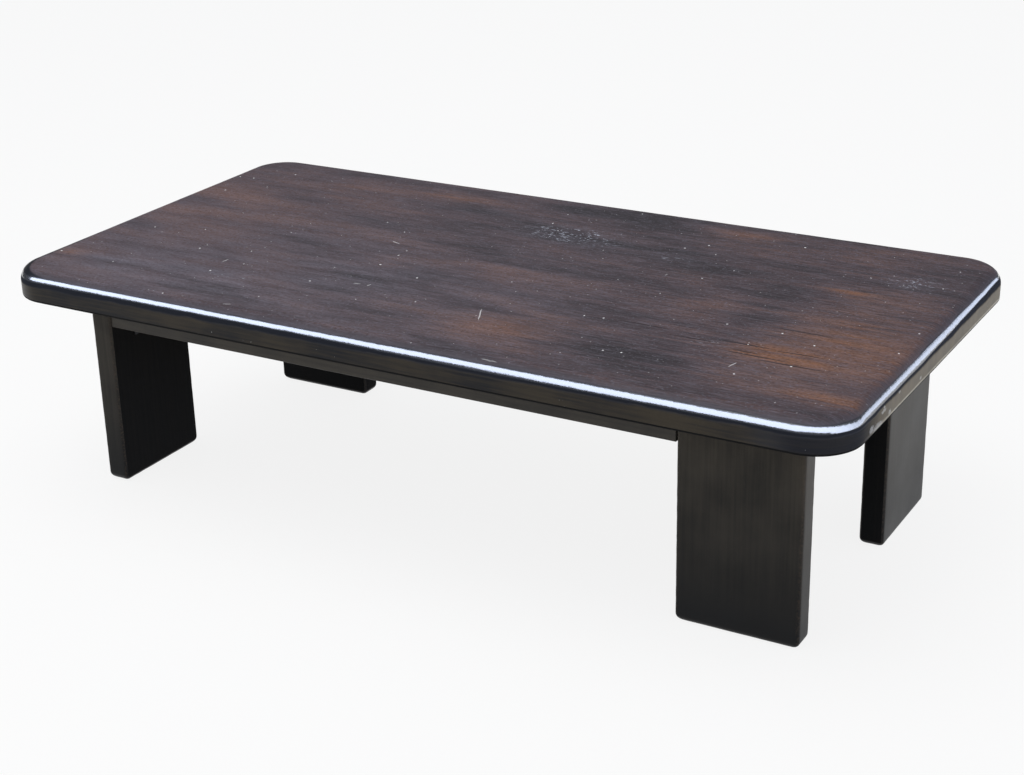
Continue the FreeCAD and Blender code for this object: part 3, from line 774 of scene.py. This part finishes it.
def side_wear(add, place, x, y, calm_border, dull, cloud, fine):
    """Masks of the side: a right end paler from handling and painted sheen, its rubbed arris, and
    chips.
    """
    behind_corner = add("MapRange", (y, *reversed(NEAR_CORNER_Y)), **SOFT)
    right_end = add("Math", (add("MapRange", (x, *RIGHT_END_X), **SOFT), behind_corner), **TIMES)
    right_end = add("Math", (right_end, dull), **TIMES)
    mottle = add("TexNoise", {"Vector": place, "Scale": 1000 / MOTTLE_MM, "Detail": 5.0})
    # Painted sheen: the paler right end stands partly for the light that its face catches from the
    # right.
    handled_and_sheen = add("Math", (right_end, add("MapRange", (mottle, 0.3, 0.7, 0.6, 1))), **TIMES)
    rubbed = add("Math", (right_end, add("MapRange", (calm_border, *ARRIS_RANGE), **SOFT)),
                 **TIMES)
    rubbed = add("Math", (rubbed, add("MapRange", (cloud, 0.2, 0.5), **SOFT)), **TIMES)
    specks_on_side = add("Math", (add("MapRange", (fine, 0.76, 0.82), **SOFT), dull), **TIMES)
    return handled_and_sheen, rubbed, add("Math", (chipped_end(add, place), specks_on_side), **MOST)


print("the right end is rubbed from", RIGHT_END_X[0], "m")

# %% Rim finish
def rim_lacquer():
    material, shader, add = new_material("black_lacquer_over_stained_oak")
    wood, wood_rough, height = wiped_wood(add)
    place = add("TexCoord").outputs["Object"]
    x, y, _ = add("SeparateXYZ", (place,)).outputs
    share = add("Attribute", attribute_name="round_share").outputs["Fac"]
    wander = add("TexNoise", {"Vector": place, "Scale": 1000 / WANDER_MM, "Detail": 4.0})
    border = add("Math", (share, add("MapRange", (wander, 0, 1, -0.08, 0.08))), **PLUS)
    calm_border = add("Math", (share, add("MapRange", (wander, 0, 1, -0.03, 0.03))), **PLUS)
    black, gloss, dull, flat, matt_and_shaded_corner = lacquer_borders(add, x, y, border, calm_border)

    cloud = add("TexNoise", {"Vector": place, "Scale": 1000 / CLOUD_MM, "Detail": 5.0})
    fine = add("TexNoise", {"Vector": place, "Scale": 1000 / FINE_MM, "Detail": 2.0})
    wiped = add("Mapping", {"Vector": place, "Scale": (1000 / 70, 1000 / 70, 1000 / 3)})
    wiped = add("TexNoise", {"Vector": wiped, "Scale": 1.0, "Detail": 3.0})
    wiped = add("Math", (cloud, add("MapRange", (wiped, 0, 1, -0.35, 0.35))), **PLUS)
    dusty = add("Math", (dull, add("MapRange", (wiped, 0.15, 0.8), **SOFT)), **TIMES)
    # Painted shade: near the front right corner the dull grey is taken back towards black.
    dusty = add("Math", (dusty, add("MapRange", (matt_and_shaded_corner, 0, 1, 1.0, 0.25))), **TIMES)
    handled_and_sheen, rubbed, chips = side_wear(add, place, x, y, calm_border, dull, cloud, fine)

    # Painted reflection: towards the shoulder the wood fades into a blue-grey film, partly a
    # thicker lacquer and partly a painted reflection.
    sheen_film = add("MapRange", (share, 0.1, 0.45, 0, 0.7), **SOFT)
    lacquer = add("Mix", {0: dusty, 6: LACQUER_BLACK, 7: LACQUER_DULL}, **COLOURS)
    colour = coats(add, wood, (sheen_film, SHOULDER_FILM_AND_SHEEN), (black, lacquer), (handled_and_sheen, HANDLED_END_AND_SHEEN),
                   (rubbed, RUBBED_ARRIS), (chips, CHIP_PALE))
    lacquer_rough = add("MapRange", (flat, 0, 1, 0.38, 1.0))
    rough = add("Mix", {0: black, 2: wood_rough, 3: lacquer_rough})
    grain = add("Math", (height, add("Math", (1.0, black), **MINUS)), **TIMES)
    grain = add("Math", (fine, 0.12, grain), **TIMES_PLUS)
    knocks = add("TexNoise", {"Vector": place, "Scale": 1000 / KNOCK_MM, "Detail": 5.0})
    join(shader, {
        "Base Color": colour, "Roughness": rough, "IOR": 1.27,
        "Normal": add("Bump", {"Strength": 0.3, "Distance": 0.3 * MM, "Height": grain}),
        "Coat Weight": gloss, "Coat Roughness": 0.13, "Coat IOR": COAT_IOR,
        "Coat Normal": add("Bump", {"Strength": 0.5, "Distance": 0.4 * MM, "Height": knocks})})
    return material


RIM_FINISH = rim_lacquer()
print(RIM_FINISH.name)

# %% [markdown]
# Under the side of the rim, and on the inner faces of the legs, nobody polished anything. The
# wood only has its black stain, which mirrors almost nothing, so these faces stay much darker
# than the lacquer beside them. This darker stain is also painted shade: it stands for the shade
# under the top and under the table, and on the rim it draws the thin dark line above the rails.
# The same function later makes the softwood of the frame, with wider bands.

# %% Unpolished wood
STAINED_GRAIN = (4, 120, {"Detail": 5.0})
SAWN_GRAIN = (7, 240, {"Detail": 6.0, "Roughness": 0.6, "Distortion": 0.3})


def board_grain(add, place, grain_axis, across_mm, along_mm, links):
    """Noise stretched along a board whose grain runs along axis 0, 1 or 2."""
    scale = [1000 / across_mm] * 3
    scale[grain_axis] = 1000 / along_mm
    along = add("Mapping", {"Vector": place, "Scale": scale})
    return add("TexNoise", {"Vector": along, "Scale": 1.0, **links})


def unpolished_wood(name, grain_axis, grain_sizes, hex_values, rough_range, ior):
    """Stained or bare wood with two colours of growth band."""
    material, shader, add = new_material(name)
    grain = board_grain(add, add("TexCoord").outputs["Object"], grain_axis, *grain_sizes)
    first, second = map(linear, hex_values)
    bands = add("MapRange", (grain, 0.3, 0.7), **SOFT)
    join(shader, {
        "Base Color": add("Mix", {0: bands, 6: first, 7: second}, **COLOURS),
        "Roughness": add("MapRange", (grain, 0, 1, *rough_range)), "IOR": ior,
        "Normal": add("Bump", {"Strength": 0.4, "Distance": 0.3 * MM, "Height": grain})})
    return material


# Painted shade: this darker stain goes where the rim's underside and the legs' inner faces lie in
# shade.
BLACK_STAIN_AS_SHADE = (STAINED_GRAIN, ("#070706", "#13110f"), (0.65, 0.85), 1.15)
RIM_UNDERSIDE_SHADE = unpolished_wood("black_stain_as_shade_under_the_rim", 0, *BLACK_STAIN_AS_SHADE)
LEG_INNER_SHADE_FINISH = unpolished_wood("black_stain_as_shade_on_leg_board", 2, *BLACK_STAIN_AS_SHADE)
print("two flat stains")

# %% [markdown]
# The four lippings stay separate pieces that meet at mitres, as a joiner would set them. The
# veneer between them could be a plain slab, but it takes the same steps round its corners as
# the lippings, so that no gap opens where they meet.

# %% Rim pieces
for quarter, side in enumerate(("front", "right", "back", "left")):
    piece = lipping_mesh("rim_" + side, quarter, RIM_FINISH, RIM_UNDERSIDE_SHADE)
    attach(piece, "top_and_frame")
    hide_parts("lipping_" + side)
    print(piece.name, len(piece.data.polygons), "faces")

# %% Veneer sheet
def sheet_outline(inset):
    """Rounded outline of the top at an inset, with the same steps as the rim."""
    outline = []
    for quarter in range(4):
        halves, spin = side_of_top(quarter)
        for x, y, turn in stations(*halves)[:-1]:
            out = Vector((math.sin(turn), -math.cos(turn), 0))
            outline.append(spin @ (Vector((x, y, 0)) + out * (CORNER_RADIUS - inset)))
    return outline


def veneer_sheet():
    bm = bmesh.new()
    skin(bm, [[bm.verts.new((p.x, p.y, z)) for p in sheet_outline(VENEER_INSET)]
              for z in (TOP_Z, VENEER_Z)])
    return smooth_piece("top_veneer", bm, VENEER_FINISH)


sheet = veneer_sheet()
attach(sheet, "top_and_frame")
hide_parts("face_veneer")
print(sheet.name, len(sheet.data.vertices), "points")

# %% [markdown]
# ## Satin lacquer on legs and rails
# The legs and rails are solid boards under a thin satin black lacquer. The open grain still
# shows as faint streaks that run with each board, and the film is a little warm where it is
# thin. Its warm tone is also painted full high up and fading towards the foot: painted light
# above and painted shade near the floor. A dark surface takes its look from what it
# mirrors: seen square on it stays near black, and seen at a low angle it turns pale grey. So
# the base colour stays dark and the roughness does the work. The film's index is lower than
# that of fresh lacquer, because rubbed lacquer reflects less. The fine noise stands for pores
# and is drawn at 3 mm, coarser than they are.

# %% Satin lacquer
SATIN_BLACK = linear("#060607")
SATIN_WARM_AND_LIGHT = linear("#4a4338")
BARE_EDGE = linear("#5b4a3a")
SATIN_GRAIN = (5, 180, {"Detail": 5.0, "Roughness": 0.65})
SATIN_CLOUD_MM = 71.43
SATIN_FINE_MM = 3.03
LIGHT_AND_SHADE_HEIGHTS = (0.02, 0.24)
SATIN_ROUGHNESS = (0.36, 0.46)
LEG_IOR = 1.25
RAIL_IOR = 1.36


def satin_lacquer(name, grain_axis, ior):
    """Satin black lacquer on a board whose grain runs along axis 0, 1 or 2."""
    material, shader, add = new_material(name)
    place = add("TexCoord").outputs["Object"]
    grain = board_grain(add, place, grain_axis, *SATIN_GRAIN)
    cloud = add("TexNoise", {"Vector": place, "Scale": 1000 / SATIN_CLOUD_MM, "Detail": 4.0})
    fine = add("TexNoise", {"Vector": place, "Scale": 1000 / SATIN_FINE_MM, "Detail": 2.0})
    warm_tone_and_light = add("Math", (cloud, 0.55, add("Math", (grain, 0.45), **TIMES)), **TIMES_PLUS)
    # Painted light and shade: the warm tone is full high up and fades out towards the foot.
    above = add("SeparateXYZ", (place,)).outputs[2]
    warm_tone_and_light = add("Math", (add("MapRange", (warm_tone_and_light, 0.1, 0.8), **SOFT),
                        add("MapRange", (above, *LIGHT_AND_SHADE_HEIGHTS))), **TIMES)
    edge = add("Attribute", attribute_name="edge_share").outputs["Fac"]
    rubbed = add("Math", (add("MapRange", (edge, 0.3, 1.0, 0, 0.3), **SOFT),
                          add("MapRange", (fine, 0.4, 0.7), **SOFT)), **TIMES)
    nicks = add("Math", (add("MapRange", (edge, 0.4, 0.8), **SOFT),
                         specks(add, place, 17, 1.7, 0.05)), **TIMES)
    relief = add("Math", (fine, 0.15, grain), **TIMES_PLUS)
    join(shader, {
        "Base Color": coats(add, SATIN_BLACK, (warm_tone_and_light, SATIN_WARM_AND_LIGHT), (rubbed, BARE_EDGE),
                            (nicks, CHIP_PALE)),
        "Roughness": add("MapRange", (cloud, 0.3, 0.7, *SATIN_ROUGHNESS)), "IOR": ior,
        "Normal": add("Bump", {"Strength": 0.3, "Distance": 0.25 * MM, "Height": relief})})
    return material


LEG_FINISH = satin_lacquer("satin_lacquer_on_leg_board", 2, LEG_IOR)
LONG_RAIL_FINISH = satin_lacquer("satin_lacquer_on_long_rail", 0, RAIL_IOR)
SHORT_RAIL_FINISH = satin_lacquer("satin_lacquer_on_short_rail", 1, RAIL_IOR)
print("three satin lacquers")

# %% [markdown]
# ## Plank legs
# Each leg is one board with rounded long edges and a foot whose corners have been rounded so
# that it doesn't mark a mat. A bevelled box would round all its edges alike, so the board is
# built as a stack of rings: every ring is a rounded rectangle that shrinks towards the foot.
# The lock bolt's plate is let in flush on the inner face, so its recess and the bolt's socket
# are cut out of the board with a boolean, and the boolean is then applied.

# %% Rings of a leg
RING_SPACING = 6 * MM
ARC_POINTS = 6
WIDE_POINTS = 30
NARROW_POINTS = 7
FOOT_RINGS = 9


def arc(cx, cy, radius, start):
    """Points of a quarter circle from an angle in degrees."""
    angles = [math.radians(start + 90 * k / ARC_POINTS) for k in range(ARC_POINTS + 1)]
    return [(cx + radius * math.cos(angle), cy + radius * math.sin(angle)) for angle in angles]


def ring_points(shrink_wide, shrink_narrow):
    """Rounded rectangle of the board's section as (x, y), with the outer corner at the origin."""
    r = LEG_EDGE_RADIUS
    x0, x1 = -LEG_WIDTH + shrink_wide + r, -shrink_wide - r
    y0, y1 = shrink_narrow + r, LEG_THICKNESS - shrink_narrow - r
    arcs = [arc(x1, y0, r, -90), arc(x1, y1, r, 0), arc(x0, y1, r, 90), arc(x0, y0, r, 180)]
    points = []
    for i, corner in enumerate(arcs):
        (x, y), (end_x, end_y) = corner[-1], arcs[(i + 1) % 4][0]
        count = NARROW_POINTS if i % 2 == 0 else WIDE_POINTS
        points += corner + [(x + (end_x - x) * (k / count), y + (end_y - y) * (k / count))
                            for k in range(1, count)]
    return points


def foot_shrink(radius, z):
    return radius - math.sqrt(max(radius ** 2 - max(radius - z, 0) ** 2, 0))


def ring_heights():
    """Heights of the rings: close together round the foot, even above it."""
    foot = [FOOT_CORNER_RADIUS * (1 - math.cos(math.radians(90 * i / FOOT_RINGS)))
            for i in range(FOOT_RINGS + 1)]
    count = round((LEG_HEAD_Z - foot[-1]) / RING_SPACING)
    return foot + [foot[-1] + (LEG_HEAD_Z - foot[-1]) * i / count for i in range(1, count + 1)]


def leg_blank():
    """Board of one leg in its own corner, before the cuts."""
    bm = bmesh.new()
    rings = []
    for z in ring_heights():
        points = ring_points(foot_shrink(FOOT_CORNER_RADIUS, z), foot_shrink(FOOT_EDGE_RADIUS, z))
        rings.append([bm.verts.new((x, y, z)) for x, y in points])
    skin(bm, rings)
    return smooth_piece("leg_blank", bm, LEG_FINISH, LEG_INNER_SHADE_FINISH)


blank = leg_blank()
print("leg blank", len(blank.data.vertices), "points")

# %% Cuts in the inner face
plate_low, plate_high = (corner - LEG_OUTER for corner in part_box("strike_plate_front_right"))
SOCKET_GAP = 0.5 * MM
SOCKET_DEPTH = 14 * MM
SOCKET_SIDES = 32
PLATE_CORNER = 4 * MM
BOLT_RADIUS = 5 * MM
OVERRUN = 5 * MM


def plate_cutter():
    """Rounded block over the plate's place that runs out past the leg's inner face."""
    x0, x1 = plate_low.x + PLATE_CORNER, plate_high.x - PLATE_CORNER
    z0, z1 = plate_low.z + PLATE_CORNER, plate_high.z - PLATE_CORNER
    outline = []
    for x, z, start in ((x1, z1, 0), (x0, z1, 90), (x0, z0, 180), (x1, z0, 270)):
        outline += arc(x, z, PLATE_CORNER, start)
    bm = bmesh.new()
    skin(bm, [[bm.verts.new((x, y, z)) for x, z in outline]
              for y in (plate_low.y, plate_high.y + OVERRUN)])
    return new_piece("plate_cutter", bm)


def socket_cutter():
    bm = bmesh.new()
    radius = BOLT_RADIUS + SOCKET_GAP
    bmesh.ops.create_cone(bm, cap_ends=True, segments=SOCKET_SIDES, radius1=radius,
                          radius2=radius, depth=2 * SOCKET_DEPTH)
    middle = (plate_low + plate_high) / 2
    bm.transform(Matrix.Translation((middle.x, LEG_THICKNESS, middle.z))
                 @ Matrix.Rotation(math.radians(90), 4, "X"))
    return new_piece("socket_cutter", bm)


def cut(target, cutter):
    """Boolean difference, applied to the mesh at once."""
    modifier = target.modifiers.new("cut", "BOOLEAN")
    modifier.operation = "DIFFERENCE"
    modifier.solver = "EXACT"
    modifier.object = cutter
    graph = bpy.context.evaluated_depsgraph_get()
    result = bpy.data.meshes.new_from_object(target.evaluated_get(graph))
    target.modifiers.remove(modifier)
    target.data = result
    bpy.data.objects.remove(cutter)


cut(blank, plate_cutter())
cut(blank, socket_cutter())
print("leg after the cuts", len(blank.data.vertices), "points")

# %% [markdown]
# The same board is set at all four corners, each a quarter turn on from the last, and each
# gets wear of its own: the arrises are pressed in here and there by noise that reads the place
# in the room, so no two legs are worn alike. An attribute tells the lacquer where the arrises
# are.

# %% Four legs
LEG_PRESS = 0.35 * MM
ARRIS_REACH = 3.5 * MM
FOOT_REACH_ACROSS = 9 * MM
FOOT_REACH_UP = 5 * MM
STILL_BAND = 1 * MM
SQUARE_ON = 0.95
LEG_RIPPLES_PER_METRE = 22
LEG_DENTS_PER_METRE = 90


def edge_share(x, y, z):
    """1 on the arrises and round the foot, falling to 0 within a few millimetres."""
    wide = min(-x, LEG_WIDTH + x)
    narrow = min(y, LEG_THICKNESS - y)
    arris = math.exp(-((wide / ARRIS_REACH) ** 2 + (narrow / ARRIS_REACH) ** 2) / 2)
    foot = math.exp(-((min(wide, narrow) / FOOT_REACH_ACROSS) ** 2
                      + (z / FOOT_REACH_UP) ** 2) / 2)
    return max(arris, 0.8 * foot)


def plank_leg(corner):
    """One leg at its corner, worn along its arrises, its inner faces in flat stain as painted
    shade.
    """
    mesh = blank.data.copy()
    mesh.name = "plank_leg_" + corner
    shares = mesh.attributes.new("edge_share", "FLOAT", "POINT")
    quarter, side_x, side_y = CORNERS[corner]
    to_place = (Matrix.Translation((side_x * LEG_OUTER.x, side_y * LEG_OUTER.y, 0))
                @ Matrix.Rotation(math.radians(90 * quarter), 4, "Z"))
    # Painted shade: the inner faces, which look in under the table, get the darker stain.
    for face in mesh.polygons:
        face.material_index = int(max(face.normal.y, -face.normal.x) > SQUARE_ON)
    normals = [vert.normal.copy() for vert in mesh.vertices]
    for vert, normal in zip(mesh.vertices, normals):
        share = edge_share(*vert.co)
        shares.data[vert.index].value = share
        room = to_place @ vert.co
        ripple = noise.noise(room * LEG_RIPPLES_PER_METRE) * 0.5 + 0.5
        dent = max(noise.noise(room * LEG_DENTS_PER_METRE) + 0.25, 0)
        if STILL_BAND < vert.co.z < LEG_HEAD_Z - STILL_BAND:
            vert.co -= normal * LEG_PRESS * share * (dent + 0.4 * ripple)
    mesh.transform(to_place)
    return new_object("plank_leg_" + corner, mesh)


for corner in CORNERS:
    leg = plank_leg(corner)
    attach(leg, "leg_" + corner)
    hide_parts("leg_" + corner)
    print(leg.name, len(leg.data.polygons), "faces")
bpy.data.objects.remove(blank)

# %% [markdown]
# ## Steel, screws and hidden wood
# The working parts keep their exact shapes from the frame and only get their finishes. Leaves
# and plates are stamped steel with a black baked enamel, dull and slightly pebbled. The pins
# and bolts are plain turned steel, a clear grey with fine marks, and the screws are zinc
# plated, a warmer and cloudier grey. The knobs are turned wood under the same black lacquer as
# the rails, and the blocks and battens are stained softwood that was never polished. The tool
# marks and pebbles are drawn at about 1 mm, coarser than real ones, or they wouldn't show.

# %% Metals
TARNISH_MM = 16.67


def metal(name, hex_value, tarnished, roughness, mark_mm):
    """Bare metal with fine tool marks. A metal keeps the default index of refraction."""
    material, shader, add = new_material(name)
    bright = linear(hex_value)
    dull = [c * tarnished for c in bright[:3]] + [1.0]
    place = add("TexCoord").outputs["Object"]
    marks = add("TexNoise", {"Vector": place, "Scale": 1000 / mark_mm, "Detail": 3.0})
    cloud = add("TexNoise", {"Vector": place, "Scale": 1000 / TARNISH_MM, "Detail": 3.0})
    tarnish = add("MapRange", (cloud, 0.35, 0.7), **SOFT)
    join(shader, {
        "Base Color": add("Mix", {0: tarnish, 6: bright, 7: dull}, **COLOURS), "Metallic": 1.0,
        "Roughness": add("MapRange", (marks, 0, 1, roughness - 0.08, roughness + 0.12)),
        "Normal": add("Bump", {"Strength": 0.2, "Distance": 0.05 * MM, "Height": marks})})
    return material


def baked_enamel():
    """Black enamel, sprayed and baked on stamped steel: slightly pebbled and dull."""
    material, shader, add = new_material("black_enamel_on_steel")
    place = add("TexCoord").outputs["Object"]
    pebble = add("TexNoise", {"Vector": place, "Scale": 1000 / 1.2, "Detail": 2.0})
    cloud = add("TexNoise", {"Vector": place, "Scale": 1000 / 20, "Detail": 4.0})
    worn = add("MapRange", (cloud, 0.4, 0.75), **SOFT)
    colour = add("Mix", {0: worn, 6: linear("#0b0b0c"), 7: linear("#171614")}, **COLOURS)
    join(shader, {
        "Base Color": colour,
        "Roughness": add("MapRange", (cloud, 0, 1, 0.4, 0.6)), "IOR": 1.3,
        "Normal": add("Bump", {"Strength": 0.25, "Distance": 0.06 * MM, "Height": pebble})})
    return material


TURNED_STEEL = metal("turned_mild_steel", "#a9a6a0", 0.6, 0.34, 0.8)
ZINC = metal("zinc_plated_steel", "#c2bfae", 0.7, 0.36, 0.6)
ENAMEL = baked_enamel()
print("metals and enamel ready")

# %% Woods of the frame
STAINED_WOOD = unpolished_wood("stained_softwood", 1, SAWN_GRAIN, ("#4a3a2c", "#2a2119"),
                               (0.6, 0.76), 1.45)
BACKING = unpolished_wood("black_stained_backing_veneer", 0, SAWN_GRAIN, ("#2e2823", "#191614"),
                          (0.54, 0.7), 1.45)
CORE = unpolished_wood("bare_softwood_core", 0, SAWN_GRAIN, ("#b5916a", "#8f6d49"),
                       (0.64, 0.8), 1.45)
print("woods of the frame ready")

# %% Finishes of the frame
FINISH_OF_SLOT = {
    "frame_wood": STAINED_WOOD, "backing_veneer": BACKING, "core_board": CORE,
    "hinge_steel": ENAMEL, "pin_steel": TURNED_STEEL, "screw_steel": ZINC,
    "knob_lacquer": SHORT_RAIL_FINISH, "frame_lacquer": LONG_RAIL_FINISH,
    "face_veneer": VENEER_FINISH, "rim_lacquer": RIM_FINISH, "leg_lacquer": LEG_FINISH,
}
slot_of = {part["node"]: part["material_slot"] for part in frame["record"]["subparts"]}
for name, node in frame["nodes"].items():
    finish = FINISH_OF_SLOT[slot_of[name]]
    if name in ("apron_left", "apron_right"):
        finish = SHORT_RAIL_FINISH
    for place in node.material_slots:
        place.material = finish
print(len(slot_of), "pieces finished")
